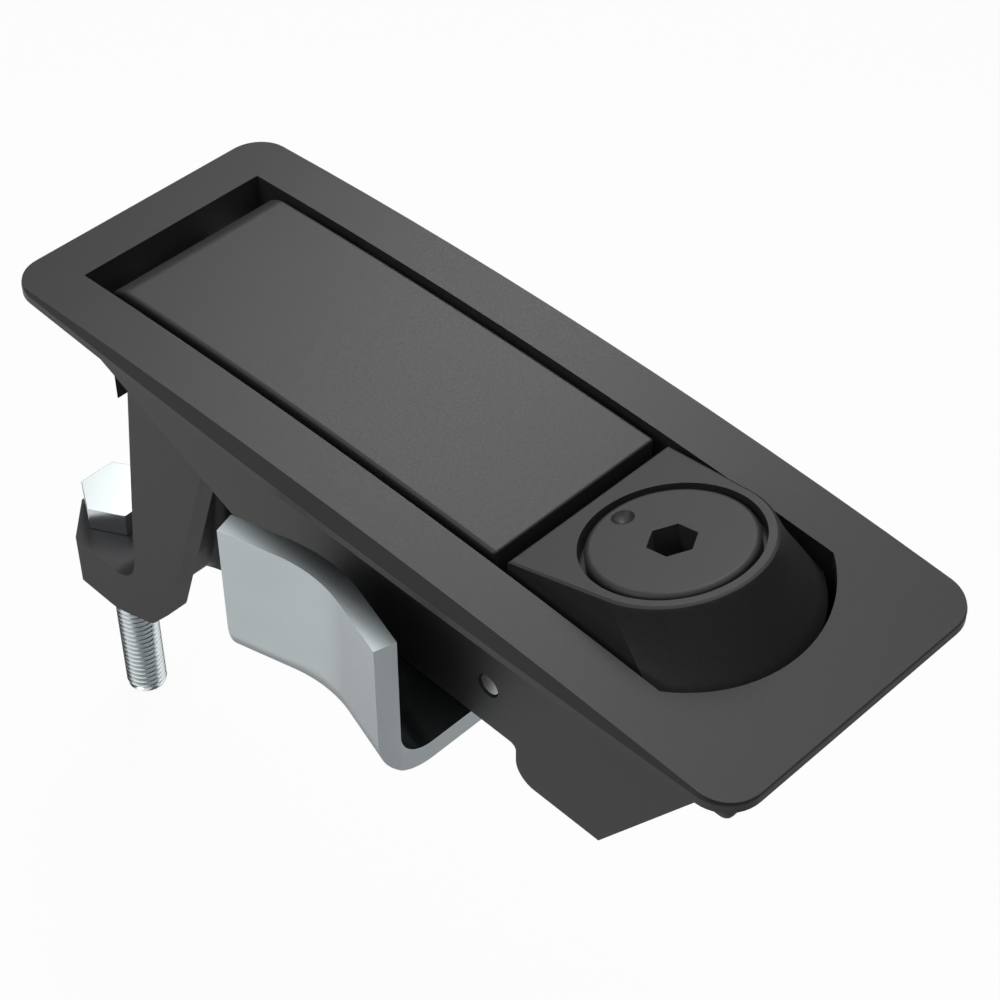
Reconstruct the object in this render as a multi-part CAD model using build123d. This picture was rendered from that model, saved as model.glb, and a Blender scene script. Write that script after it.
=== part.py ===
from build123d import *
from math import cos, radians, sin, sqrt, tan
import os

# Driving dimensions in millimetres: z = 0 is the panel's face, under the flange

FLANGE_LENGTH = 150.0
FLANGE_HALF_WIDTH = 27.3
FLANGE_END_HALF_WIDTH = 26.2
FLANGE_CORNER = 6.0
RIM_HEIGHT = 1.4
RIM_LEAN = 15.0
CROWN_AT_ENDS = 1.81
CROWN_RISE = 2.9

OPENING_LEFT = -66.0
OPENING_HALF_WIDTH = 17.8
NOSE_WELL_X = 41.3
NOSE_WELL_RADIUS = 22.5
WALL = 2.2
PAN_HALF_WIDTH = OPENING_HALF_WIDTH + WALL
PAN_LEFT = OPENING_LEFT - WALL
PAN_END_DEPTH = 8.1
PAN_DEPTH = 27.0
SUMP_DEPTH = 33.9
SUMP_LEFT = 30.9
SUMP_RIGHT = 47.5
STEP_DEPTH = 9.8
STEP_LEFT = 64.4
PAN_RIGHT = 70.1
FLOOR_LEFT = -14.0
TONGUE_DEPTH = 25.4
TONGUE_HALF_WIDTH = 15.0

FLUSH_GAP = 0.1
SIDE_GAP = 1.5
PIN_FIT = 0.03
PIN_RUN = 0.05
PIVOT_X = -54.0
PIVOT_Z = -6.0
PIVOT_PIN = 3.0
PIN_HALF_LENGTH = PAN_HALF_WIDTH - 0.3
COIL_STEPS = 16

HANDLE_LEFT = OPENING_LEFT + 3.8
HANDLE_RIGHT = 22.9
HANDLE_HALF_WIDTH = OPENING_HALF_WIDTH - SIDE_GAP
HANDLE_PLATE = 2.6
HANDLE_DEPTH = 7.0
KEEPER_LOW = -9.0
KEEPER_HIGH = -7.0
KEEPER_X = 23.8

PAWL_HALF_WIDTH = 11.0
LUG_IN = PAWL_HALF_WIDTH + 0.25
LUG_THICK = 3.15
LUG_OUT = LUG_IN + LUG_THICK
PAWL_CHEEK = 3.9
PAWL_WEB = 3.0
PAWL_PIN = 2.5
PAWL_PIN_X = -50.0
PAWL_PIN_Z = -18.0
SHOULDER_Z = -25.7
FOOT_TOP = -80.9
FOOT_LOW = -92.1
FOOT_END = -100.5
FOOT_TIP_HALF_WIDTH = 3.5
PAWL_FRONT = -65.4
ARM_FRONT = -69.0
ARM_FRONT_Z = -28.6
FOOT_FRONT = -75.6
HEEL = -82.6

BOLT_X = -93.0
BOLT_RADIUS = 4.0
BOLT_FLATS = 13.0
BOLT_HEAD = 5.3
BOLT_END = -129.6

BUTTON_PIN_X = 25.2
BUTTON_PIN_Z = -18.5
BUTTON_PIN = 2.0
BUTTON_LEFT = 25.45
BUTTON_WALL = 2.4
BUTTON_TOP = 3.2
BUTTON_LOW = -1.5
SKIRT_TOP = -1.0
NOSE_GAP = 0.9
BUTTON_SIDE_GAP = 1.8
BUTTON_LUG = 4.0
BUTTON_LUG_OUT = OPENING_HALF_WIDTH - BUTTON_SIDE_GAP
BUTTON_LUG_IN = BUTTON_LUG_OUT - BUTTON_LUG
HOOK_X = 24.1
FACE_X = 40.8
FACE_Z = 8.3
FACE_TILT = 13.2
NOSE_RADIUS = 14.7
NOSE_TAPER = 5.57
FACE_BREAK = 0.35

DISC_RADIUS = 12.25
DISC_THICK = 2.4
BARREL_RADIUS = 8.5
SOCKET_CORNER = 3.7
SOCKET_DEPTH = 6.0
SQUARE = 7.0
CAM_LENGTH = 15.0
CAM_WIDTH = 8.0
CAM_TOP = 15.6
CAM_THICK = 2.5

BRACKET_X = 0.0
BRACKET_HALF_LENGTH = 17.65
BRACKET_TOP = -7.0
BRACKET_WEB = -33.7
LEG_WAIST = 25.4
LEG_SPLAY = 15.4
LEG_BOW = 25.0
BEND = 6.0
SHEET = 3.7
BRACKET_SCREW = 3.0
BOSS_RADIUS = 5.5
BOSS_TOP = -14.0
WASHER_THICK = 1.6

FACE = Plane(
    origin=(FACE_X, 0, FACE_Z),
    x_dir=(cos(radians(FACE_TILT)), 0, sin(radians(FACE_TILT))),
    z_dir=(-sin(radians(FACE_TILT)), 0, cos(radians(FACE_TILT))),
)


# Shared ways of drawing

def crown(x):
    """Height of the crowned top over the panel at one x."""
    return CROWN_AT_ENDS + CROWN_RISE * (1 - (2 * x / FLANGE_LENGTH) ** 2)


def outline(points):
    """Straight-sided outline; a third value rounds that corner."""
    face = make_face(Polyline(*[(p[0], p[1]) for p in points], close=True))
    for p in points:
        if len(p) > 2:
            corner = face.vertices().sort_by_distance((p[0], p[1], 0))[0]
            face = fillet(corner, p[2])
    return face


def across(face, y0, y1):
    """Solid of an (x, z) outline between two y places."""
    return extrude(Plane.XZ.offset(-y1) * face, amount=y1 - y0)


def upright(face, z0, z1):
    """Solid of an (x, y) outline between two heights."""
    return extrude(Plane.XY.offset(z0) * face, amount=z1 - z0)


def turned(points):
    """Solid turned about Z from a (radius, z) outline."""
    return revolve(Plane.XZ * outline(points), axis=Axis.Z)


def rod(x, z, radius, y0, y1):
    """Round bar along Y."""
    return across(Pos(x, z) * Circle(radius), y0, y1)


def both_sides(solid):
    """The solid and its mirror image in the middle plane."""
    return solid + mirror(solid, about=Plane.XZ)


def crown_arc(x0, x1, drop):
    """Arc of the crown, lowered by drop."""
    xm = (x0 + x1) / 2
    return ThreePointArc((x0, crown(x0) - drop), (xm, crown(xm) - drop), (x1, crown(x1) - drop))


def under_crown(x0, x1, low, drop):
    """Outline from a level line up to the lowered crown."""
    left = (x0, crown(x0) - drop)
    right = (x1, crown(x1) - drop)
    return make_face([crown_arc(x0, x1, drop), Polyline(right, (x1, low), (x0, low), left)])


def hexagon_head(flats, height):
    """Plain head standing on z = 0, corners towards Y."""
    return extrude(RegularPolygon(flats / sqrt(3), 6, rotation=30), amount=height)


def coil(radius, wire, pitch, turns, start=0.0):
    """Wire wound about Z from z = 0 upwards, in short mitred lengths."""
    count = round(COIL_STEPS * turns)
    places = [360 * turns * n / count for n in range(count + 1)]
    path = Polyline(*[(radius * cos(radians(a)), radius * sin(radians(a)), pitch * a / 360) for a in places])
    section = Plane(path @ 0, z_dir=path % 0) * RegularPolygon(wire, 6)
    return Rot(0, 0, start) * sweep(section, path=path, transition=Transition.RIGHT)


# Pan: crowned flange, open-bottomed box, sump for the lock, end tongue

def opening_face():
    y = OPENING_HALF_WIDTH
    x = NOSE_WELL_X + sqrt(NOSE_WELL_RADIUS ** 2 - y ** 2)
    tip = (NOSE_WELL_X + NOSE_WELL_RADIUS, 0)
    return make_face([
        Polyline((x, y), (OPENING_LEFT, y), (OPENING_LEFT, -y), (x, -y)),
        ThreePointArc((x, -y), tip, (x, y)),
    ])


def flange():
    end = FLANGE_LENGTH / 2
    y = FLANGE_END_HALF_WIDTH
    plan = make_face([
        ThreePointArc((-end, -y), (0, -FLANGE_HALF_WIDTH), (end, -y)),
        Line((end, -y), (end, y)),
        ThreePointArc((end, y), (0, FLANGE_HALF_WIDTH), (-end, y)),
        Line((-end, y), (-end, -y)),
    ])
    plan = fillet(plan.vertices(), FLANGE_CORNER)
    rim = upright(plan, 0, RIM_HEIGHT)
    leaning = extrude(Plane.XY.offset(RIM_HEIGHT) * plan, amount=4.6, taper=RIM_LEAN)
    top = across(under_crown(-end - 5, end + 5, -1, 0), -40, 40)
    plate = rim + (leaning & top) - upright(opening_face(), -1, 8)
    well = turned([
        (0, -0.1), (NOSE_WELL_RADIUS + 1.2, -0.1), (NOSE_WELL_RADIUS, 1.2), (0, 1.2),
    ])
    well = Pos(NOSE_WELL_X, 0, 0) * well
    corner = NOSE_WELL_X + sqrt(NOSE_WELL_RADIUS ** 2 - OPENING_HALF_WIDTH ** 2)
    reach = Pos(corner + 8.8, 0, 0) * Box(16, 2 * OPENING_HALF_WIDTH, 8)
    return plate - (well & reach)


def pan():
    w = WALL
    rise = (SUMP_DEPTH - STEP_DEPTH) / (STEP_LEFT - SUMP_RIGHT)
    shift = w * sqrt(1 + 1 / rise ** 2) - w / rise
    sump_step = SUMP_DEPTH - PAN_DEPTH
    outer = outline([
        (PAN_LEFT, 0), (PAN_LEFT, -PAN_END_DEPTH), (-24.3, -PAN_DEPTH),
        (SUMP_LEFT, -PAN_DEPTH, min(1.2, 0.2 * sump_step)),
        (SUMP_LEFT, -SUMP_DEPTH, min(3.7, 0.6 * sump_step)),
        (SUMP_RIGHT, -SUMP_DEPTH), (STEP_LEFT, -STEP_DEPTH),
        (PAN_RIGHT, -STEP_DEPTH, 1.8), (PAN_RIGHT, 0),
    ])
    inner = outline([
        (OPENING_LEFT, 0), (OPENING_LEFT, -SUMP_DEPTH - 5), (FLOOR_LEFT, -SUMP_DEPTH - 5),
        (FLOOR_LEFT, w - PAN_DEPTH), (SUMP_LEFT + w, w - PAN_DEPTH),
        (SUMP_LEFT + w, w - SUMP_DEPTH, 1.5), (SUMP_RIGHT - shift, w - SUMP_DEPTH),
        (STEP_LEFT - shift, w - STEP_DEPTH), (PAN_RIGHT - w, w - STEP_DEPTH),
        (PAN_RIGHT - w, 0),
    ])
    box = across(outer, -PAN_HALF_WIDTH, PAN_HALF_WIDTH)
    box = fillet(box.edges().filter_by(Axis.Z).group_by(Axis.X)[-1], 1.0)
    box -= across(inner, -OPENING_HALF_WIDTH, OPENING_HALF_WIDTH)
    narrow = TONGUE_HALF_WIDTH - w
    tongue = upright(
        outline([
            (PAN_LEFT, -narrow), (OPENING_LEFT, -TONGUE_HALF_WIDTH),
            (OPENING_LEFT, TONGUE_HALF_WIDTH), (PAN_LEFT, narrow),
        ]),
        -TONGUE_DEPTH, 0,
    )
    boss = Pos(BRACKET_X, 0, 0) * turned([
        (0, 0.5 - PAN_DEPTH), (BOSS_RADIUS + 1, 0.5 - PAN_DEPTH), (BOSS_RADIUS + 1, w - PAN_DEPTH),
        (BOSS_RADIUS, w - PAN_DEPTH + 1), (BOSS_RADIUS, BOSS_TOP), (0, BOSS_TOP),
    ])
    rib = across(
        outline([(41, -32.5), (46.2, -32.5), (49.5, -28), (49.5, -13.0), (41, -13.0)]),
        11.0, OPENING_HALF_WIDTH + 0.5,
    )
    body = box + tongue + boss + rib + flange()
    body -= rod(PIVOT_X, PIVOT_Z, PIVOT_PIN + PIN_FIT, -30, 30)
    body -= rod(BUTTON_PIN_X, BUTTON_PIN_Z, BUTTON_PIN + PIN_FIT, -30, 30)
    hole = Pos(BRACKET_X, 0, -PAN_DEPTH - 1) * Cylinder(
        BRACKET_SCREW + PIN_FIT, 20, align=(Align.CENTER, Align.CENTER, Align.MIN)
    )
    return body - hole


# Pins that stay in the pan's walls

def pan_pin(x, z, radius):
    pin = rod(x, z, radius, -PIN_HALF_LENGTH, PIN_HALF_LENGTH)
    return chamfer(pin.edges().filter_by(GeomType.CIRCLE), 0.3)


# Lever paddle: arched channel with end walls, ribs, keeper lip and two lugs

def handle():
    half = HANDLE_HALF_WIDTH
    low = FLUSH_GAP + HANDLE_DEPTH
    x0 = HANDLE_LEFT
    x1 = HANDLE_RIGHT
    under = FLUSH_GAP + HANDLE_PLATE
    side = make_face([
        crown_arc(x0, x1, FLUSH_GAP),
        Line((x1, crown(x1) - FLUSH_GAP), (x1, crown(x1) - low)),
        crown_arc(x0, x1, low),
        Line((x0, crown(x0) - low), (x0, crown(x0) - FLUSH_GAP)),
    ])
    for x, z, radius in (
        (x0, crown(x0) - FLUSH_GAP, 3.0),
        (x1, crown(x1) - FLUSH_GAP, 0.4),
        (x0, crown(x0) - low, 2.0),
    ):
        side = fillet(side.vertices().sort_by_distance((x, z, 0))[0], radius)
    body = across(side, -half, half)
    long_edges = body.edges().filter_by(lambda e: abs(abs(e.center().Y) - half) < 0.01)
    body = fillet(long_edges.filter_by(lambda e: e.center().Z > 4.3), 0.7)
    plan = outline([(x0, -half, 0.6), (x1 + 5, -half), (x1 + 5, half), (x0, half, 0.6)])
    body = body & upright(plan, -20, 10)
    body += across(
        outline([
            (x1 - WALL, 0), (x1 - WALL, KEEPER_LOW), (KEEPER_X, KEEPER_LOW), (KEEPER_X, KEEPER_HIGH, 0.4),
            (x1 - 1.3, KEEPER_HIGH, 0.5), (x1 - 1.3, -2), (x1, -1), (x1, 0),
        ]),
        -half, half,
    )
    body -= across(
        outline([(x1 - 1.3, KEEPER_HIGH), (x1 + 3, KEEPER_HIGH), (x1 + 3, -1), (x1, -1), (x1 - 1.3, -2)]),
        -half - 1, half + 1,
    )
    body -= across(under_crown(x0 + WALL, x1 - WALL, -20, under), WALL - half, half - WALL)
    for x in (-30.0, -14.0):
        body += across(
            outline([(x - 0.9, crown(x) - 1), (x + 0.9, crown(x) - 1), (x + 0.9, -0.8), (x - 0.9, -0.8)]),
            WALL - half - 0.5, half - WALL + 0.5,
        )
    lug = make_hull(
        (Pos(PIVOT_X, PIVOT_Z) * Circle(7)).edges()
        + (Pos(PAWL_PIN_X, PAWL_PIN_Z) * Circle(5.2)).edges()
    )
    web = outline([
        (-60.9, PIVOT_Z), (-60.5, 1.5), (-38, 2.0), (-38, -1.5, 3), (-45.2, -16), (-54, -8),
    ])
    lugs = across(lug, LUG_IN, LUG_OUT) + across(web, LUG_IN, LUG_OUT)
    lugs += rod(PIVOT_X, PIVOT_Z, 5.0, LUG_OUT - 0.5, OPENING_HALF_WIDTH - 0.3)
    body += both_sides(lugs)
    body -= rod(PIVOT_X, PIVOT_Z, PIVOT_PIN + PIN_RUN, -30, 30)
    return body - rod(PAWL_PIN_X, PAWL_PIN_Z, PAWL_PIN + PIN_FIT, -30, 30)


# Pawl: cheeks, web and foot in one casting of channel section

def pawl():
    slant = (ARM_FRONT - FOOT_FRONT) / (FOOT_TOP - ARM_FRONT_Z)
    hub = Pos(PIVOT_X, PIVOT_Z) * Circle(5.0)
    shoulder_x = ARM_FRONT - slant * (SHOULDER_Z - ARM_FRONT_Z)
    side = outline([
        (PIVOT_X - 4.7, PIVOT_Z + 0.5), (PAWL_FRONT, PIVOT_Z - 6, 2.5), (PAWL_FRONT, SHOULDER_Z),
        (shoulder_x, SHOULDER_Z, 0.6), (FOOT_FRONT, FOOT_TOP, 7), (FOOT_END, FOOT_TOP, 0.6),
        (FOOT_END, FOOT_LOW, 3), (HEEL, FOOT_LOW, 10), (FOOT_FRONT + 4.1, FOOT_LOW + 4.2, 5),
        (FOOT_FRONT + 10.1, FOOT_TOP + 0.3, 5), (PAWL_PIN_X + 4.9, PAWL_PIN_Z + 0.5, 4),
        (PIVOT_X + 5.3, PIVOT_Z + 1.5), (PIVOT_X, PIVOT_Z + 2),
    ])
    body = across(side + hub, -PAWL_HALF_WIDTH, PAWL_HALF_WIDTH)
    web_x = PAWL_FRONT + PAWL_WEB
    inner_x = shoulder_x + PAWL_WEB
    above = PIVOT_Z + 11
    below = FOOT_LOW - 5.9
    behind = PAWL_PIN_X + 20
    channel = outline([
        (web_x, above), (web_x, SHOULDER_Z + 1, 3), (inner_x, SHOULDER_Z - 2, 3),
        (FOOT_FRONT + 3.2, FOOT_TOP + 1.9, 12), (FOOT_FRONT + 0.6, FOOT_LOW + 4.6, 6),
        (HEEL + 0.6, FOOT_LOW), (HEEL + 0.6, below), (behind, below), (behind, above),
    ])
    gap = across(channel, PAWL_CHEEK - PAWL_HALF_WIDTH, PAWL_HALF_WIDTH - PAWL_CHEEK)
    inside = gap.edges().filter_by(
        lambda e: e.center().X < PAWL_FRONT + 5.4 and FOOT_LOW + 2.1 < e.center().Z < PIVOT_Z - 8
    )
    inside = inside.filter_by(lambda e: abs(abs(e.center().Y) - PAWL_HALF_WIDTH + PAWL_CHEEK) < 0.01)
    body -= fillet(inside, 1.8)
    plan = outline([
        (FOOT_END, -FOOT_TIP_HALF_WIDTH, 1), (BOLT_X, -PAWL_HALF_WIDTH, 1), (behind, -PAWL_HALF_WIDTH),
        (behind, PAWL_HALF_WIDTH), (BOLT_X, PAWL_HALF_WIDTH, 1), (FOOT_END, FOOT_TIP_HALF_WIDTH, 1),
    ])
    body = body & upright(plan, below - 2, above + 5)
    body -= rod(PIVOT_X, PIVOT_Z, PIVOT_PIN + PIN_RUN, -30, 30)
    body -= rod(PAWL_PIN_X, PAWL_PIN_Z, PAWL_PIN + PIN_FIT, -30, 30)
    return body - Pos(BOLT_X, 0, FOOT_TOP) * Cylinder(BOLT_RADIUS + PIN_RUN, 30)


def pawl_pin():
    pin = rod(PAWL_PIN_X, PAWL_PIN_Z, PAWL_PIN, -LUG_OUT - 2, LUG_OUT + 2)
    return chamfer(pin.edges().filter_by(GeomType.CIRCLE), 0.4)


def pawl_pin_clips():
    ring = rod(PAWL_PIN_X, PAWL_PIN_Z, 4.4, LUG_OUT + 0.1, LUG_OUT + 0.9)
    ring -= rod(PAWL_PIN_X, PAWL_PIN_Z, PAWL_PIN, LUG_OUT, LUG_OUT + 1)
    ring -= Pos(PAWL_PIN_X + 4, LUG_OUT + 0.5, PAWL_PIN_Z) * Box(8, 2, 2.6)
    return both_sides(ring)


def adjusting_bolt():
    shank = turned([
        (0, BOLT_END), (BOLT_RADIUS - 0.8, BOLT_END), (BOLT_RADIUS, BOLT_END + 0.8),
        (BOLT_RADIUS, FOOT_TOP + 0.5), (0, FOOT_TOP + 0.5),
    ])
    return Pos(BOLT_X, 0, 0) * (shank + Pos(0, 0, FOOT_TOP) * hexagon_head(BOLT_FLATS, BOLT_HEAD))


# Lock button: tilted face, flared nose, hook, lugs and the plug's housing

def face_outline(inset=0.0):
    """The tilted face's edge, in the face's own plane."""
    lean = radians(NOSE_TAPER)
    r = NOSE_RADIUS - inset
    left = (BUTTON_LEFT - FACE_X) / cos(radians(FACE_TILT)) + inset
    y = (r - left * sin(lean)) / cos(lean)
    tx = r * sin(lean)
    ty = r * cos(lean)
    return Wire([
        Line((left, y), (left, -y)),
        Line((left, -y), (tx, -ty)),
        ThreePointArc((tx, -ty), (r, 0), (tx, ty)),
        Line((tx, ty), (left, y)),
    ])


def skirt_outline():
    """The button's edge in the opening, in plan."""
    r = NOSE_WELL_RADIUS - NOSE_GAP
    left = BUTTON_LEFT
    y0 = OPENING_HALF_WIDTH - 1.2
    y1 = OPENING_HALF_WIDTH - 0.5
    x1 = NOSE_WELL_X + sqrt(r ** 2 - y1 ** 2)
    return Wire([
        Line((left, y0), (left, -y0)),
        Line((left, -y0), (x1, -y1)),
        ThreePointArc((x1, -y1), (NOSE_WELL_X + r, 0), (x1, y1)),
        Line((x1, y1), (left, y0)),
    ])


def nose():
    """Straight-lined loft from the skirt up to the tilted face, its rim broken."""
    skirt = Pos(0, 0, SKIRT_TOP) * skirt_outline()
    flare = Part() + Solid.make_loft([skirt, FACE * face_outline()], ruled=True)
    break_depth = 2 * FACE_BREAK
    rim = extrude(make_face(face_outline(FACE_BREAK)), amount=-break_depth, taper=-60)
    below = Pos(0, 0, -break_depth - 20) * Box(90, 60, 40)
    return flare & FACE * (rim + below)


def nose_hollow():
    """Pocket from below, a wall inside the nose and under its face."""
    half = OPENING_HALF_WIDTH - BUTTON_SIDE_GAP - BUTTON_WALL
    left = BUTTON_LEFT + BUTTON_WALL
    middle = 48.5
    plan = outline([(left, -half), (middle, -half), (middle, half), (left, half)])
    plan += Pos(middle, 0) * Ellipse(57.4 - middle, half)
    pocket = upright(plan, BUTTON_LOW - 1, 5.0)
    return pocket & FACE * Pos(0, 0, -BUTTON_TOP - 20) * Box(90, 60, 40)


def lock_button():
    shell = nose()
    shell += upright(make_face(skirt_outline()), BUTTON_LOW, SKIRT_TOP)
    shell -= nose_hollow()
    front = across(
        outline([
            (BUTTON_LEFT, 2), (BUTTON_LEFT, -4), (HOOK_X, -4.4, 0.3), (HOOK_X, -6.5), (BUTTON_LEFT, -6.5),
            (BUTTON_LEFT, -9), (BUTTON_LEFT + 2.45, -9), (BUTTON_LEFT + 2.45, 2),
        ]),
        0.1 - BUTTON_LUG_OUT, BUTTON_LUG_OUT - 0.1,
    )
    lug = make_hull(
        (Pos(BUTTON_PIN_X, BUTTON_PIN_Z) * Circle(4.8)).edges()
        + (Pos(31.0, -4) * Rectangle(5.2, 4)).edges()
    )
    stem = outline([(25.6, -8), (33.6, -8), (33.6, 2.2), (25.6, 1.2)])
    lugs = across(lug + stem, BUTTON_LUG_IN, BUTTON_LUG_OUT)
    housing = FACE * turned([(0, -1), (11.5, -1), (11.5, -13.2), (10.7, -14), (0, -14)])
    body = shell + front + both_sides(lugs) + housing
    body -= FACE * turned([
        (0, 1), (13.15, 1), (13.15, -2.6), (BARREL_RADIUS + PIN_RUN, -2.6),
        (BARREL_RADIUS + PIN_RUN, -15), (0, -15),
    ])
    return body - rod(BUTTON_PIN_X, BUTTON_PIN_Z, BUTTON_PIN + PIN_RUN, -30, 30)


# Turning plug with its seal, ring, cam, washer and screw

def lock_plug():
    r = BARREL_RADIUS
    body = turned([
        (0, 0), (DISC_RADIUS, 0, 0.9), (DISC_RADIUS, -DISC_THICK), (r, -DISC_THICK),
        (r, -5), (7.3, -5), (7.3, -7), (r, -7), (r, -14.25), (7.55, -14.25), (7.55, -15.15),
        (r, -15.15), (r, -15.5), (0, -15.5),
    ])
    body += Pos(0, 0, -16.5) * Box(SQUARE, SQUARE, 3)
    body -= Pos(0, 0, -SOCKET_DEPTH) * extrude(RegularPolygon(SOCKET_CORNER, 6), amount=8)
    body -= Pos(-9.35, 0, 0.9) * Sphere(1.9)
    body -= Pos(0, 0, -13) * Cylinder(2.53, 11)
    return FACE * body


def plug_seal():
    section = [(7.9 + 0.6 * cos(radians(a)), 0.6 * sin(radians(a)) - 6) for a in range(0, 360, 45)]
    return FACE * turned(section)


def plug_circlip():
    ring = turned([(7.6, -15.1), (10, -15.1), (10, -14.3), (7.6, -14.3)])
    return FACE * (ring - Pos(-9, 0, -14.7) * Box(4, 4, 2))


def lock_cam():
    arm = Pos(-CAM_LENGTH / 2, 0) * Rectangle(CAM_LENGTH, CAM_WIDTH)
    arm = fillet(arm.vertices().group_by(Axis.X)[0], 2.5)
    plate = arm + Circle(6.2) - Rectangle(SQUARE + 2 * PIN_FIT, SQUARE + 2 * PIN_FIT)
    return FACE * Pos(0, 0, -CAM_TOP - CAM_THICK) * extrude(plate, amount=CAM_THICK)


def cam_washer():
    return FACE * turned([(2.6, -19.15), (5.5, -19.15), (5.5, -18.15), (2.6, -18.15)])


def cam_screw():
    body = turned([
        (0, -8), (2.5, -8), (2.5, -19.2), (4.25, -19.2), (4.25, -22.2), (3.75, -22.7), (0, -22.7),
    ])
    return FACE * (body - Pos(0, 0, -23) * extrude(RegularPolygon(2.3, 6), amount=2.3))


# Springs

def popup_spring():
    low = WALL - PAN_DEPTH + 0.75
    high = crown(BRACKET_X) - FLUSH_GAP - HANDLE_PLATE - 0.8
    turns = 4.5
    return Pos(BRACKET_X, 0, low) * coil(6.8, 0.7, (high - low) / turns, turns)


def button_spring():
    wire = 0.6
    radius = BUTTON_PIN + 0.4 + wire
    y_low = 5.0
    y_high = 9.4
    turns = 3 + 40 / 360
    wound = coil(radius, wire, (y_high - y_low) / turns, turns)
    wound = Pos(BUTTON_PIN_X, y_low, BUTTON_PIN_Z) * Rot(-90, 0, 0) * Rot(0, 0, -25) * wound
    legs = []
    to_floor = (BUTTON_PIN_Z - WALL + PAN_DEPTH + radius * sin(radians(25)) - wire - 0.3) / sin(radians(65))
    for y, place, lean, length in ((y_low, 25, -65, to_floor), (y_high, -15, 75, 21.6)):
        x = BUTTON_PIN_X + radius * cos(radians(place))
        z = BUTTON_PIN_Z + radius * sin(radians(place))
        way = (cos(radians(lean)), 0, sin(radians(lean)))
        start = Plane(origin=(x, y, z), z_dir=way)
        legs.append(Pos(x, y, z) * Box(1.6 * wire, 1.6 * wire, 1.6 * wire))
        legs.append(extrude(start * RegularPolygon(wire, 6), amount=length))
    return wound + legs


# Mounting bracket with its washer and screw

def mounting_bracket():
    lean = radians(LEG_SPLAY)
    half = BRACKET_HALF_LENGTH
    end = LEG_WAIST + half * tan(lean)
    tip_x = half - SHEET * sin(lean)
    tip_y = end + SHEET * cos(lean)
    waist = LEG_WAIST + SHEET / cos(lean)
    outer = outline([
        (-tip_x, -tip_y), (0, -waist, LEG_BOW), (tip_x, -tip_y), (half, -end), (half, end),
        (tip_x, tip_y), (0, waist, LEG_BOW), (-tip_x, tip_y), (-half, end), (-half, -end),
    ])
    past = half + 4
    past_end = LEG_WAIST + past * tan(lean)
    inner = outline([
        (-past, -past_end), (0, -LEG_WAIST, LEG_BOW + SHEET), (past, -past_end),
        (past, past_end), (0, LEG_WAIST, LEG_BOW + SHEET), (-past, past_end),
    ])
    block = upright(outer, BRACKET_WEB - SHEET, BRACKET_TOP)
    bends = block.edges().group_by(Axis.Z)[0].filter_by(lambda e: abs(e.center().X) < tip_x - 3)
    block = fillet(bends, BEND + SHEET)
    space = upright(inner, BRACKET_WEB, BRACKET_TOP + 5)
    bends = space.edges().group_by(Axis.Z)[0].filter_by(lambda e: abs(e.center().X) < half)
    block -= fillet(bends, BEND)
    block -= Pos(0, 0, BRACKET_WEB - SHEET) * Cylinder(BRACKET_SCREW + 0.3, 20)
    return Pos(BRACKET_X, 0, 0) * block


def bracket_washer():
    low = BRACKET_WEB - SHEET - WASHER_THICK
    body = turned([(BRACKET_SCREW + 0.2, 0), (6, 0), (6, WASHER_THICK), (BRACKET_SCREW + 0.2, WASHER_THICK)])
    return Pos(BRACKET_X, 0, low) * body


def bracket_screw():
    seat = BRACKET_WEB - SHEET - WASHER_THICK
    shank = turned([
        (0, seat - 0.5), (BRACKET_SCREW, seat - 0.5), (BRACKET_SCREW, -16.6),
        (BRACKET_SCREW - 0.6, -16), (0, -16),
    ])
    head = Pos(0, 0, seat) * Rot(180, 0, 0) * hexagon_head(10.0, 4.0)
    return Pos(BRACKET_X, 0, 0) * (shank + head)


# One file for each piece

PIECES = {
    "pan": pan,
    "handle_pin": lambda: pan_pin(PIVOT_X, PIVOT_Z, PIVOT_PIN),
    "button_pin": lambda: pan_pin(BUTTON_PIN_X, BUTTON_PIN_Z, BUTTON_PIN),
    "handle": handle,
    "pawl": pawl,
    "pawl_pin": pawl_pin,
    "pawl_pin_clips": pawl_pin_clips,
    "adjusting_bolt": adjusting_bolt,
    "lock_button": lock_button,
    "lock_plug": lock_plug,
    "plug_seal": plug_seal,
    "plug_circlip": plug_circlip,
    "lock_cam": lock_cam,
    "cam_washer": cam_washer,
    "cam_screw": cam_screw,
    "popup_spring": popup_spring,
    "button_spring": button_spring,
    "mounting_bracket": mounting_bracket,
    "bracket_washer": bracket_washer,
    "bracket_screw": bracket_screw,
}

os.makedirs("parts", exist_ok=True)
for name, make in PIECES.items():
    piece = make()
    solids = piece.solids()
    print(name, len(solids), round(sum(s.volume for s in solids), 2), piece.is_valid)
    export_step(piece, f"parts/{name}.step")
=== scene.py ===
import bmesh
import bpy
from math import cos, pi, radians, sin, sqrt
from mathutils import Matrix, Vector


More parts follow.
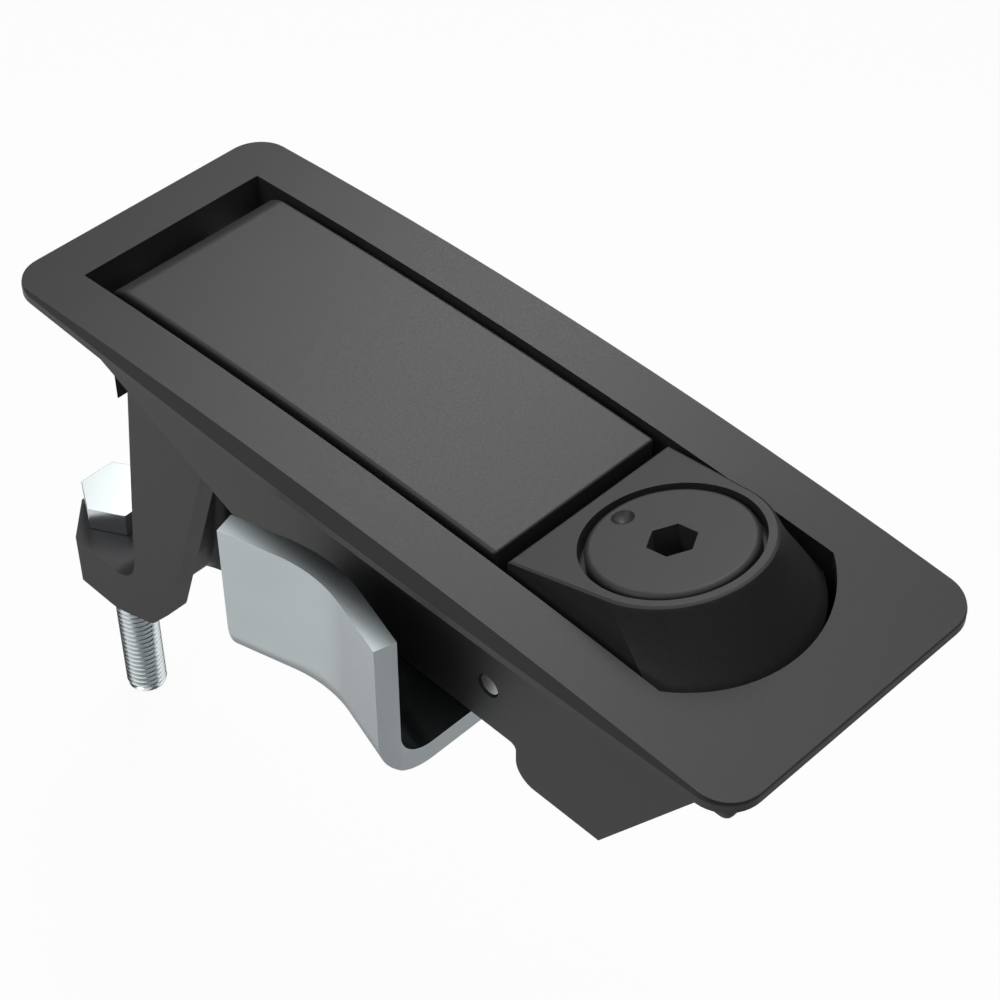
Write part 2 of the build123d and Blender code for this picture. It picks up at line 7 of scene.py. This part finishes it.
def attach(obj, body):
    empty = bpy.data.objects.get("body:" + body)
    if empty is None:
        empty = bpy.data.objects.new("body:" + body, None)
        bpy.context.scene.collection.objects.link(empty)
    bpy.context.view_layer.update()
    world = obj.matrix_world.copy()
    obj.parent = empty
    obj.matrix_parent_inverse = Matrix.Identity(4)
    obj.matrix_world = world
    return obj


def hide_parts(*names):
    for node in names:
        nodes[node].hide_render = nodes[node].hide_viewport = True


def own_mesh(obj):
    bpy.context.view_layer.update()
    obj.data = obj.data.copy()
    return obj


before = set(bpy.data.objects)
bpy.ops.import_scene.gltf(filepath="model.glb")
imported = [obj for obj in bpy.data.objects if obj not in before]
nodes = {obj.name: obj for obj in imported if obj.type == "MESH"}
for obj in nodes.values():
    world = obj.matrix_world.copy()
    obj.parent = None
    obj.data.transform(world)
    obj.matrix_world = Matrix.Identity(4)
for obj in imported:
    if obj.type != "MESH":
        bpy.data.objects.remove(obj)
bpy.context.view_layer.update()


# Pan: one zinc die casting, a crowned flange over an open-bottomed box, with a
# black powder coat all over. The casting's corners are broken by the tool and
# softened again by the coat, so every edge shows a thin round.

WELD = 2e-6
SLIVER = 1e-6
FLAT = radians(0.05)
SHARP = radians(27)
SMOOTH = radians(31)
SAME_LEVEL = 1e-5


def joined(node):
    """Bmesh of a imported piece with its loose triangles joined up."""
    bm = bmesh.new()
    bm.from_mesh(nodes[node].data)
    bmesh.ops.remove_doubles(bm, verts=bm.verts, dist=WELD)
    bmesh.ops.dissolve_degenerate(bm, edges=bm.edges, dist=SLIVER)
    return bm


def join_flats(bm):
    """Makes one face of neighbours that lie in one plane."""
    bmesh.ops.dissolve_limit(bm, angle_limit=FLAT, verts=bm.verts, edges=bm.edges)


def merged(node):
    """The joined-up piece with its flat faces whole."""
    bm = joined(node)
    join_flats(bm)
    return bm


def round_corners(bm, edge, segments=2, sharp=SHARP):
    """Rounds the edges where the faces turn by more than the sharp angle."""
    corners = [e for e in bm.edges if len(e.link_faces) == 2 and e.calc_face_angle(0) > sharp]
    bmesh.ops.bevel(
        bm, geom=corners, offset=edge, offset_type="OFFSET", affect="EDGES",
        segments=segments, profile=0.5, material=-1, clamp_overlap=True,
    )


def finished(node, bm, smooth=SMOOTH, crease=None):
    """Makes a bmesh the smooth piece that replaces a node; one level may stay creased."""
    mesh = bpy.data.meshes.new(node)
    bm.to_mesh(mesh)
    bm.free()
    mesh.shade_smooth()
    mesh.set_sharp_from_angle(angle=smooth)
    if crease is not None:
        for e in mesh.edges:
            if all(abs(mesh.vertices[i].co.z - crease) < SAME_LEVEL for i in e.vertices):
                e.use_edge_sharp = True
    piece = bpy.data.objects.new(node + "_dressed", mesh)
    bpy.context.scene.collection.objects.link(piece)
    weighted = piece.modifiers.new("even_shading", "WEIGHTED_NORMAL")
    weighted.keep_sharp = True
    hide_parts(node)
    return piece


def softened(node, edge, segments=2, sharp=SHARP):
    """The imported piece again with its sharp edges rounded."""
    bm = merged(node)
    round_corners(bm, edge, segments, sharp)
    return finished(node, bm)


def dress(piece, material, body):
    """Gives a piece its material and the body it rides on."""
    piece.data.materials.clear()
    piece.data.materials.append(material)
    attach(piece, body)


def node_group(name, inputs, outputs):
    """New node group with its inputs and outputs, each a label and a kind."""
    group = bpy.data.node_groups.new(name, "ShaderNodeTree")
    for way, sockets in (("INPUT", inputs), ("OUTPUT", outputs)):
        for label, kind in sockets.items():
            group.interface.new_socket(label, in_out=way, socket_type=kind)
    return group


def add_node(tree, kind, inputs=None, operation=None):
    """Adds a node whose inputs are plain values or other nodes' outputs; gives its outputs."""
    node = tree.nodes.new(kind)
    if operation:
        node.operation = operation
    for socket, given in (inputs or {}).items():
        if isinstance(given, bpy.types.NodeSocket):
            tree.links.new(given, node.inputs[socket])
        else:
            node.inputs[socket].default_value = given
    return node.outputs


LOOK = {"Colour": "NodeSocketColor", "Roughness": "NodeSocketFloat"}
SKIN = LOOK | {"Height": "NodeSocketFloat"}
CLOUD_SCALE = 55
GRAIN_ROUGHNESS = 0.16


def powder_grain_group():
    """Fine orange peel of a sprayed powder coat: tone, roughness and height."""
    texture = {"Grains per metre": "NodeSocketFloat", "Contrast": "NodeSocketFloat"}
    group = node_group("powder_grain", LOOK | texture, SKIN)
    given = add_node(group, "NodeGroupInput")
    place = add_node(group, "ShaderNodeTexCoord")["Object"]
    grain = add_node(group, "ShaderNodeTexNoise", {
        "Vector": place, "Scale": given["Grains per metre"], "Detail": 3, "Roughness": 0.6,
    })["Fac"]
    cloud = add_node(group, "ShaderNodeTexNoise", {
        "Vector": place, "Scale": CLOUD_SCALE, "Detail": 2,
    })["Fac"]
    spread = add_node(group, "ShaderNodeMath", {0: grain, 1: 0.5}, "SUBTRACT")[0]
    speckle = add_node(group, "ShaderNodeMath", {
        0: spread, 1: given["Contrast"], 2: 1.0,
    }, "MULTIPLY_ADD")[0]
    drift = add_node(group, "ShaderNodeMapRange", {
        "Value": cloud, "To Min": 0.95, "To Max": 1.05,
    })["Result"]
    both = add_node(group, "ShaderNodeMath", {0: speckle, 1: drift}, "MULTIPLY")[0]
    tone = add_node(group, "ShaderNodeVectorMath", {
        0: given["Colour"], "Scale": both,
    }, "SCALE")["Vector"]
    rough = add_node(group, "ShaderNodeMath", {
        0: spread, 1: GRAIN_ROUGHNESS, 2: given["Roughness"],
    }, "MULTIPLY_ADD")[0]
    add_node(group, "NodeGroupOutput", {"Colour": tone, "Roughness": rough, "Height": grain})
    return group


def surfaced(name, group, settings, bump, depth):
    """Material whose tone, roughness and relief come out of a node group."""
    material = bpy.data.materials.new(name)
    material.use_nodes = True
    tree = material.node_tree
    shader = tree.nodes["Principled BSDF"]
    skin = tree.nodes.new("ShaderNodeGroup")
    skin.node_tree = group
    for socket, value in settings.items():
        skin.inputs[socket].default_value = value
    relief = add_node(tree, "ShaderNodeBump", {
        "Strength": bump, "Distance": depth, "Height": skin.outputs["Height"],
    })
    tree.links.new(skin.outputs["Colour"], shader.inputs["Base Color"])
    tree.links.new(skin.outputs["Roughness"], shader.inputs["Roughness"])
    tree.links.new(relief["Normal"], shader.inputs["Normal"])
    return material


powder_grain = powder_grain_group()
POWDER_GRAINS = 2200
POWDER_CONTRAST = 0.5
POWDER_BUMP = 0.35
POWDER_DEPTH = 0.00003
POWDER_SHINE = 0.3


def coated(name, colour, roughness):
    """Material of a coated or moulded surface with the fine grain on it."""
    settings = {
        "Colour": (*colour, 1), "Roughness": roughness,
        "Grains per metre": POWDER_GRAINS, "Contrast": POWDER_CONTRAST,
    }
    material = surfaced(name, powder_grain, settings, POWDER_BUMP, POWDER_DEPTH)
    shader = material.node_tree.nodes["Principled BSDF"]
    shader.inputs["Specular IOR Level"].default_value = POWDER_SHINE
    return material


PAN_EDGE = 0.00022
RIM_HEIGHT = 0.0014
pan_coat = coated("pan_powder_coat", colour=(0.026, 0.026, 0.027), roughness=0.43)
casting = merged("pan")
round_corners(casting, PAN_EDGE)
dress(finished("pan", casting, crease=RIM_HEIGHT), pan_coat, "housing")


# Lever paddle: the same casting alloy and coat, on a pin near its left end.
# There its top rolls down in a long round, which clears the pan as it swings.

HANDLE_END = -0.0622
HANDLE_EDGE = 0.00025
BLUNT = radians(50)
SIDE_HEIGHT = 0.00171
CROWN = 0.0029
FLANGE_LENGTH = 0.150
CAST_ROUND = 0.003
LONG_ROUND = 0.005
ROUND_SKIN = 0.00075
ROUND_CUTS = 6
ROUND_CUT_STEP = 0.0004
STRIP_START = HANDLE_END + 0.0027
STRIP_INNER = 0.01559
STRIP_DEPTH = 0.00076
STRIP_LENGTH = 0.001
ON_PLANE = 1e-7
MIRROR_WELD = 1e-6


def fall(x, radius):
    """How far a rounded end has dropped at one x."""
    short = HANDLE_END + radius - x
    if short <= 0:
        return 0.0
    return radius - sqrt(max(radius ** 2 - short ** 2, 0.0))


def top_height(x):
    """Height of the paddle's crowned top."""
    return SIDE_HEIGHT + CROWN * (1 - (2 * x / FLANGE_LENGTH) ** 2)


def whole(bm):
    """Every corner, edge and face of a bmesh."""
    return bm.verts[:] + bm.edges[:] + bm.faces[:]


def slice_along(bm, place, way, clear_outer=False):
    """Cuts a bmesh along a plane, and may take away what lies beyond it."""
    return bmesh.ops.bisect_plane(
        bm, geom=whole(bm), dist=ON_PLANE, plane_co=place, plane_no=way, clear_outer=clear_outer,
    )


def is_long(face):
    """True where a face runs further along the paddle than one strip's least length."""
    along = [v.co.x for v in face.verts]
    return max(along) - min(along) > STRIP_LENGTH


def even_strips(bm):
    """Lays straight strips along the rounded near edge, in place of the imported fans."""
    zone = {
        v for v in bm.verts
        if -v.co.y > STRIP_INNER and v.co.x > STRIP_START
        and top_height(v.co.x) - v.co.z < STRIP_DEPTH
    }
    fans = [f for f in bm.faces if all(v in zone for v in f.verts)]
    long_fans = {f for f in fans if is_long(f)}
    along = sorted({v for f in long_fans for v in f.verts}, key=lambda v: v.co.x)
    columns = [[along[0]]]
    for v in along[1:]:
        if v.co.x - columns[-1][0].co.x > STRIP_LENGTH:
            columns.append([])
        columns[-1].append(v)
    if len({len(c) for c in columns}) > 1:
        return
    kept = set(along)
    last = columns[-1][0].co.x - STRIP_LENGTH
    spare = [f for f in fans if f in long_fans or all(v in kept and v.co.x < last for v in f.verts)]
    bmesh.ops.delete(bm, geom=spare, context="FACES_ONLY")
    for column in columns:
        column.sort(key=lambda v: (-v.co.z, -v.co.y))
    for left, right in zip(columns, columns[1:]):
        for k in range(len(left) - 1):
            bm.faces.new((left[k], left[k + 1], right[k + 1], right[k]))
    bmesh.ops.delete(bm, geom=[e for e in bm.edges if not e.link_faces], context="EDGES")


# The near half is evened out and mirrored, so that both long edges are alike.
paddle = joined("handle")
even_strips(paddle)
slice_along(paddle, (0, 0, 0), (0, 1, 0), clear_outer=True)
bmesh.ops.mirror(paddle, geom=whole(paddle), axis="Y", merge_dist=MIRROR_WELD)
bmesh.ops.recalc_face_normals(paddle, faces=paddle.faces)
join_flats(paddle)
for k in range(ROUND_CUTS):
    slice_along(paddle, (HANDLE_END + CAST_ROUND + k * ROUND_CUT_STEP, 0, 0), (1, 0, 0))
for v in paddle.verts:
    depth = top_height(v.co.x) - fall(v.co.x, CAST_ROUND) - v.co.z
    if depth < ROUND_SKIN and v.co.x < HANDLE_END + LONG_ROUND:
        v.co.z -= fall(v.co.x, LONG_ROUND) - fall(v.co.x, CAST_ROUND)
round_corners(paddle, HANDLE_EDGE, sharp=BLUNT)
handle_coat = coated("handle_powder_coat", colour=(0.028, 0.028, 0.029), roughness=0.43)
dress(finished("handle", paddle), handle_coat, "lever")


# Push button: a zinc casting with a tilted face and a flared nose, in the same
# black coat. It rocks on a steel pin through the pan's side walls.

BUTTON_EDGE = 0.00015
BUTTON_SHARP = radians(15)
button_coat = coated("button_powder_coat", colour=(0.027, 0.027, 0.028), roughness=0.45)
dress(softened("lock_button", BUTTON_EDGE, sharp=BUTTON_SHARP), button_coat, "button")


# Turning plug: a round cast disc flush in the face, with a hexagon socket for
# the key and a small dimple that shows which way it points.

PLUG_EDGE = 0.00018
plug_coat = coated("plug_powder_coat", colour=(0.027, 0.027, 0.028), roughness=0.45)
dress(softened("lock_plug", PLUG_EDGE), plug_coat, "plug")


# Pawl: a channel-shaped casting with a foot, in a slightly bluer black. Two
# pins through its lugs hold it under the paddle.

PAWL_EDGE = 0.0003
pawl_coat = coated("pawl_black", colour=(0.028, 0.028, 0.030), roughness=0.46)
dress(softened("pawl", PAWL_EDGE), pawl_coat, "lever")


# Adjusting bolt: an M8 hexagon-head screw in bright zinc plate, threaded all
# the way from under its head, and screwed down through the pawl's foot.

PLATE_CLOUD_SCALE = 90
HAZE_SCALE = 1400
HAZE_ROUGHNESS = 0.03


def plating_group():
    """Slow clouds and fine haze of a zinc plating."""
    group = node_group("zinc_plating", LOOK, SKIN)
    given = add_node(group, "NodeGroupInput")
    place = add_node(group, "ShaderNodeTexCoord")["Object"]
    cloud = add_node(group, "ShaderNodeTexNoise", {
        "Vector": place, "Scale": PLATE_CLOUD_SCALE, "Detail": 3,
    })["Fac"]
    haze = add_node(group, "ShaderNodeTexNoise", {
        "Vector": place, "Scale": HAZE_SCALE, "Detail": 2,
    })["Fac"]
    drift = add_node(group, "ShaderNodeMapRange", {
        "Value": cloud, "To Min": 0.93, "To Max": 1.05,
    })["Result"]
    tone = add_node(group, "ShaderNodeVectorMath", {
        0: given["Colour"], "Scale": drift,
    }, "SCALE")["Vector"]
    rough = add_node(group, "ShaderNodeMath", {
        0: haze, 1: HAZE_ROUGHNESS, 2: given["Roughness"],
    }, "MULTIPLY_ADD")[0]
    add_node(group, "NodeGroupOutput", {"Colour": tone, "Roughness": rough, "Height": haze})
    return group


zinc_plating = plating_group()
PLATE_DEPTH = 0.00002


def plated(name, colour, roughness, bump):
    """Material of a plated or bare metal surface."""
    settings = {"Colour": (*colour, 1), "Roughness": roughness}
    material = surfaced(name, zinc_plating, settings, bump, PLATE_DEPTH)
    material.node_tree.nodes["Principled BSDF"].inputs["Metallic"].default_value = 1.0
    return material


# One turn of thread, as shares of its depth outward and of its pitch along.
THREAD_TURN = ((0, 0), (0, 0.25), (1, 0.5625), (1, 0.6875), (0, 1))
THREAD_DEPTH = 0.61
THREAD_STEPS = 28
TIP_DEPTH = 0.9
SEAT_SLIP = 0.00002


def cut_level(bm, height, way):
    """Takes away what lies above a height, or below it, and closes the cut."""
    cut = slice_along(bm, (0, 0, height), (0, 0, way), clear_outer=True)
    rim = [g for g in cut["geom_cut"] if isinstance(g, bmesh.types.BMEdge)]
    bmesh.ops.edgeloop_fill(bm, edges=rim)


def thread(bm, x, low, high, radius, pitch, tip):
    """Screw thread about a vertical axis, narrowed at its tip."""
    depth = THREAD_DEPTH * pitch
    root = radius - depth
    turns = int((high - low) / pitch) + 2
    cut = bmesh.new()
    verts = [
        cut.verts.new((x + root + out * depth, 0, low - pitch + along * pitch))
        for out, along in THREAD_TURN
    ]
    edges = [cut.edges.new(pair) for pair in zip(verts, verts[1:])]
    bmesh.ops.spin(
        cut, geom=verts + edges, cent=(x, 0, 0), axis=(0, 0, 1), dvec=(0, 0, pitch / THREAD_STEPS),
        angle=2 * pi * turns, steps=THREAD_STEPS * turns, use_merge=False, use_duplicate=False,
    )
    bmesh.ops.remove_doubles(cut, verts=cut.verts, dist=WELD)
    cut_level(cut, high, 1)
    cut_level(cut, low, -1)
    for v in cut.verts:
        reach = sqrt((v.co.x - x) ** 2 + v.co.y ** 2)
        most = radius - TIP_DEPTH * depth + abs(v.co.z - tip)
        if reach > most:
            v.co.x = x + (v.co.x - x) * most / reach
            v.co.y = v.co.y * most / reach
    bmesh.ops.recalc_face_normals(cut, faces=cut.faces)
    spare = bpy.data.meshes.new("thread")
    cut.to_mesh(spare)
    cut.free()
    bm.from_mesh(spare)
    bpy.data.meshes.remove(spare)


def head_alone(node, seat, way):
    """The hexagon head of a packed screw, cut off at its seat and closed there."""
    bm = merged(node)
    cut_level(bm, seat + way * SEAT_SLIP, -way)
    bmesh.ops.recalc_face_normals(bm, faces=bm.faces)
    return bm


BOLT_X = -0.093
BOLT_SEAT = -0.0809
BOLT_END = -0.1296
BOLT_RADIUS = 0.004
BOLT_PITCH = 0.00125
BOLT_EDGE = 0.00014
BOLT_RUN_IN = 0.0003
bolt_zinc = plated("bolt_zinc", colour=(0.68, 0.73, 0.745), roughness=0.20, bump=0.02)
bolt = head_alone("adjusting_bolt", BOLT_SEAT, 1)
round_corners(bolt, BOLT_EDGE)
thread(bolt, BOLT_X, BOLT_END, BOLT_SEAT + BOLT_RUN_IN, BOLT_RADIUS, BOLT_PITCH, tip=BOLT_END)
dress(finished("adjusting_bolt", bolt), bolt_zinc, "adjuster")


# Mounting bracket: a strip of 3.7 mm steel folded to a U, its legs bowed in
# the press, zinc plated; its washer and screw pull it up under the pan.

BRACKET_EDGE = 0.0003
WASHER_EDGE = 0.0001
bracket_zinc = plated("bracket_zinc", colour=(0.44, 0.485, 0.50), roughness=0.31, bump=0.02)
bracket = softened("mounting_bracket", BRACKET_EDGE, segments=3)
dress(bracket, bracket_zinc, "housing")
dress(softened("bracket_washer", WASHER_EDGE), bolt_zinc, "housing")

SCREW_SEAT = -0.039
SCREW_TIP = -0.016
SCREW_RADIUS = 0.003
SCREW_PITCH = 0.001
SCREW_EDGE = 0.00012
SCREW_RUN_IN = 0.0002
screw = head_alone("bracket_screw", SCREW_SEAT, -1)
round_corners(screw, SCREW_EDGE)
thread(screw, 0, SCREW_SEAT - SCREW_RUN_IN, SCREW_TIP, SCREW_RADIUS, SCREW_PITCH, tip=SCREW_TIP)
dress(finished("bracket_screw", screw), bolt_zinc, "housing")


# Pins, rings, cam and its fasteners: bare bright steel, and the plug's seal of
# black rubber. The pins are cut from bar, and two rings hold the pawl's.

PIN_EDGE = 0.00006
SEAL_SMOOTH = radians(60)
pin_steel = plated("pin_steel", colour=(0.56, 0.56, 0.56), roughness=0.22, bump=0.1)
for node, body in (
    ("handle_pin", "housing"), ("button_pin", "housing"),
    ("pawl_pin", "lever"), ("pawl_pin_clips", "lever"),
    ("plug_circlip", "plug"), ("lock_cam", "plug"), ("cam_washer", "plug"), ("cam_screw", "plug"),
):
    dress(softened(node, PIN_EDGE), pin_steel, body)
seal = coated("seal_rubber", colour=(0.02, 0.02, 0.02), roughness=0.7)
ring = finished("plug_seal", merged("plug_seal"), smooth=SEAL_SMOOTH)
dress(ring, seal, "plug")


# Springs: music wire. The paddle's is wound open round the boss in the pan.
# The button's is wound close round its pin, with one leg on the pan's floor and
# one under the button.

WIRE_SIDES = 12
WINDING_STEPS = 30


def wound(low, high, radius, wire, turns, start=0.0):
    """Round wire wound about Z, as a closed tube."""
    pitch = (high - low) / turns
    bm = bmesh.new()
    spot = Matrix.Translation((radius, 0, low)) @ Matrix.Rotation(pi / 2, 4, "X")
    loop = bmesh.ops.create_circle(
        bm, cap_ends=False, segments=WIRE_SIDES, radius=wire,
        matrix=Matrix.Rotation(start, 4, "Z") @ spot,
    )
    made = bmesh.ops.spin(
        bm, geom=bm.verts[:] + bm.edges[:], cent=(0, 0, 0), axis=(0, 0, 1),
        dvec=(0, 0, pitch / WINDING_STEPS), angle=2 * pi * turns,
        steps=round(WINDING_STEPS * turns), use_merge=False, use_duplicate=False,
    )
    last = [g for g in made["geom_last"] if isinstance(g, bmesh.types.BMVert)]
    for end in (loop["verts"], last):
        bmesh.ops.contextual_create(bm, geom=end)
    bmesh.ops.recalc_face_normals(bm, faces=bm.faces)
    return bm


POPUP_LOW = -0.02405
POPUP_HIGH = 0.00121
POPUP_TURNS = 4.5
POPUP_RADIUS = 0.0068
POPUP_WIRE = 0.0007
popup = wound(POPUP_LOW, POPUP_HIGH, POPUP_RADIUS, POPUP_WIRE, POPUP_TURNS)
dress(finished("popup_spring", popup), pin_steel, "housing")

BUTTON_PIN_X = 0.0252
BUTTON_PIN_Z = -0.0185
COIL_RADIUS = 0.003
COIL_WIRE = 0.0006
COIL_LOW = 0.0050
COIL_HIGH = 0.0094
COIL_TURNS = 3 + 40 / 360
COIL_START = -radians(25)
KNUCKLE = 1.01
KNUCKLE_RINGS = 8

# Each leg: its place along the pin, its angle round the coil, its lean, its length.
FLOOR_LEG = (COIL_LOW, radians(25), radians(-65), 0.00736)
BUTTON_LEG = (COIL_HIGH, radians(-15), radians(75), 0.0216)

torsion = wound(COIL_LOW, COIL_HIGH, COIL_RADIUS, COIL_WIRE, COIL_TURNS, COIL_START)
on_pin = Matrix.Translation((BUTTON_PIN_X, 0, BUTTON_PIN_Z)) @ Matrix.Rotation(-pi / 2, 4, "X")
bmesh.ops.transform(torsion, verts=torsion.verts, matrix=on_pin)
for y, angle, lean, length in (FLOOR_LEG, BUTTON_LEG):
    foot = Vector((
        BUTTON_PIN_X + COIL_RADIUS * cos(angle), y, BUTTON_PIN_Z + COIL_RADIUS * sin(angle),
    ))
    way = Vector((cos(lean), 0, sin(lean)))
    turned = way.to_track_quat("Z", "Y").to_matrix().to_4x4()
    bmesh.ops.create_cone(
        torsion, cap_ends=True, segments=WIRE_SIDES, radius1=COIL_WIRE, radius2=COIL_WIRE,
        depth=length, matrix=Matrix.Translation(foot + way * length / 2) @ turned,
    )
    bmesh.ops.create_uvsphere(
        torsion, u_segments=WIRE_SIDES, v_segments=KNUCKLE_RINGS, radius=COIL_WIRE * KNUCKLE,
        matrix=Matrix.Translation(foot),
    )
coil = finished("button_spring", torsion)
dress(coil, pin_steel, "housing")
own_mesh(coil)


# Studio: a pale floor and surround that look white to the camera, a broad lamp
# overhead, a small one behind that is kept off the bracket and a weak one in
# front. Dark flags all round and a grey card show only in what the latch mirrors.

FLOOR_Z = -0.1301
FLOOR_REACH = 3.0
FLOOR_GREY = 0.86
FLOOR_GLOW = 0.95
MATT = 0.9


def matt(name, grey):
    """Plain matt material in one grey."""
    material = bpy.data.materials.new(name)
    material.use_nodes = True
    shader = material.node_tree.nodes["Principled BSDF"]
    shader.inputs["Base Color"].default_value = (grey, grey, grey, 1)
    shader.inputs["Roughness"].default_value = MATT
    return material


def seen(tree):
    """One where the camera looks, straight or by way of a mirror or a glass."""
    rays = add_node(tree, "ShaderNodeLightPath")
    most = rays["Is Camera Ray"]
    for other in ("Is Glossy Ray", "Is Transmission Ray"):
        most = add_node(tree, "ShaderNodeMath", {0: most, 1: rays[other]}, "MAXIMUM")[0]
    return most


def floor_material():
    """Matt floor that glows nearly white where it is seen."""
    material = matt("studio_floor", FLOOR_GREY)
    tree = material.node_tree
    glow = add_node(tree, "ShaderNodeEmission", {"Color": (1, 1, 1, 1)})
    share = add_node(tree, "ShaderNodeMath", {0: seen(tree), 1: FLOOR_GLOW}, "MULTIPLY")[0]
    mix = add_node(tree, "ShaderNodeMixShader", {
        "Fac": share, 1: tree.nodes["Principled BSDF"].outputs["BSDF"], 2: glow["Emission"],
    })
    tree.links.new(mix["Shader"], tree.nodes["Material Output"].inputs["Surface"])
    return material


def studio_piece(name, bm, material):
    """Puts a bmesh into the studio with its material."""
    mesh = bpy.data.meshes.new(name)
    bm.to_mesh(mesh)
    bm.free()
    mesh.materials.append(material)
    piece = bpy.data.objects.new(name, mesh)
    bpy.context.scene.collection.objects.link(piece)
    return piece


floor_bm = bmesh.new()
bmesh.ops.create_grid(
    floor_bm, x_segments=1, y_segments=1, size=FLOOR_REACH, matrix=Matrix.Translation((0, 0, FLOOR_Z)),
)
floor = studio_piece("floor", floor_bm, floor_material())

FLAG_RADIUS = 0.44
FLAG_TOP = 0.21
FLAG_SIDES = 64
FLAG_GREY = 0.02
flag_bm = bmesh.new()
bmesh.ops.create_cone(
    flag_bm, cap_ends=False, segments=FLAG_SIDES, radius1=FLAG_RADIUS, radius2=FLAG_RADIUS,
    depth=FLAG_TOP - FLOOR_Z, matrix=Matrix.Translation((0, 0, (FLAG_TOP + FLOOR_Z) / 2)),
)
flag = studio_piece("dark_flags", flag_bm, matt("flag_cloth", FLAG_GREY))
flag.visible_camera = False

CARD_MIDDLE = (0.08, 0.165, FLOOR_Z + 0.0005)
CARD_HALF_LENGTH = 0.25
CARD_HALF_WIDTH = 0.225
CARD_GREY = 0.88
card_bm = bmesh.new()
bmesh.ops.create_grid(
    card_bm, x_segments=1, y_segments=1, size=1,
    matrix=Matrix.Translation(CARD_MIDDLE) @ Matrix.Diagonal((CARD_HALF_LENGTH, CARD_HALF_WIDTH, 1, 1)),
)
card = studio_piece("grey_card", card_bm, matt("card_paper", CARD_GREY))
card.visible_camera = False
card.visible_diffuse = False
card.visible_shadow = False

world = bpy.data.worlds.new("studio")
bpy.context.scene.world = world
world.use_nodes = True
sky = world.node_tree
back = sky.nodes["Background"]
back.inputs["Color"].default_value = (0.50, 0.50, 0.51, 1)
back.inputs["Strength"].default_value = 1.0
white = add_node(sky, "ShaderNodeBackground", {"Color": (1, 1, 1, 1)})
choice = add_node(sky, "ShaderNodeMixShader", {
    "Fac": seen(sky), 1: back.outputs["Background"], 2: white["Background"],
})
sky.links.new(choice["Shader"], sky.nodes["World Output"].inputs["Surface"])


def lamp(name, place, size, watts):
    """Square soft lamp aimed at the latch."""
    light = bpy.data.lights.new(name, "AREA")
    light.shape = "SQUARE"
    light.size = size
    light.energy = watts
    lamp_object = bpy.data.objects.new(name, light)
    lamp_object.location = place
    lamp_object.rotation_euler = (-Vector(place)).to_track_quat("-Z", "Y").to_euler()
    bpy.context.scene.collection.objects.link(lamp_object)
    return lamp_object


lamp("key", place=(-0.15, 0.25, 0.9), size=0.7, watts=2.95)
sheen = lamp("sheen", place=(-0.432, 0.428, 0.536), size=0.24, watts=1.5)
flagged_off = bpy.data.collections.new("flagged_off")
flagged_off.objects.link(bracket)
flagged_off.collection_objects[0].light_linking.link_state = "EXCLUDE"
sheen.light_linking.receiver_collection = flagged_off
lamp("front", place=(-0.15, -0.42, 0.28), size=0.2, watts=0.6)

camera_data = bpy.data.cameras.new("camera")
camera_data.lens = 89.8
camera_data.sensor_width = 36
camera_data.clip_start = 0.01
camera = bpy.data.objects.new("camera", camera_data)
camera.location = (0.19124, -0.18357, 0.25212)
camera.rotation_euler = (radians(45), 0, radians(45))
bpy.context.scene.collection.objects.link(camera)
bpy.context.scene.camera = camera
bpy.context.scene.view_settings.view_transform = "Standard"
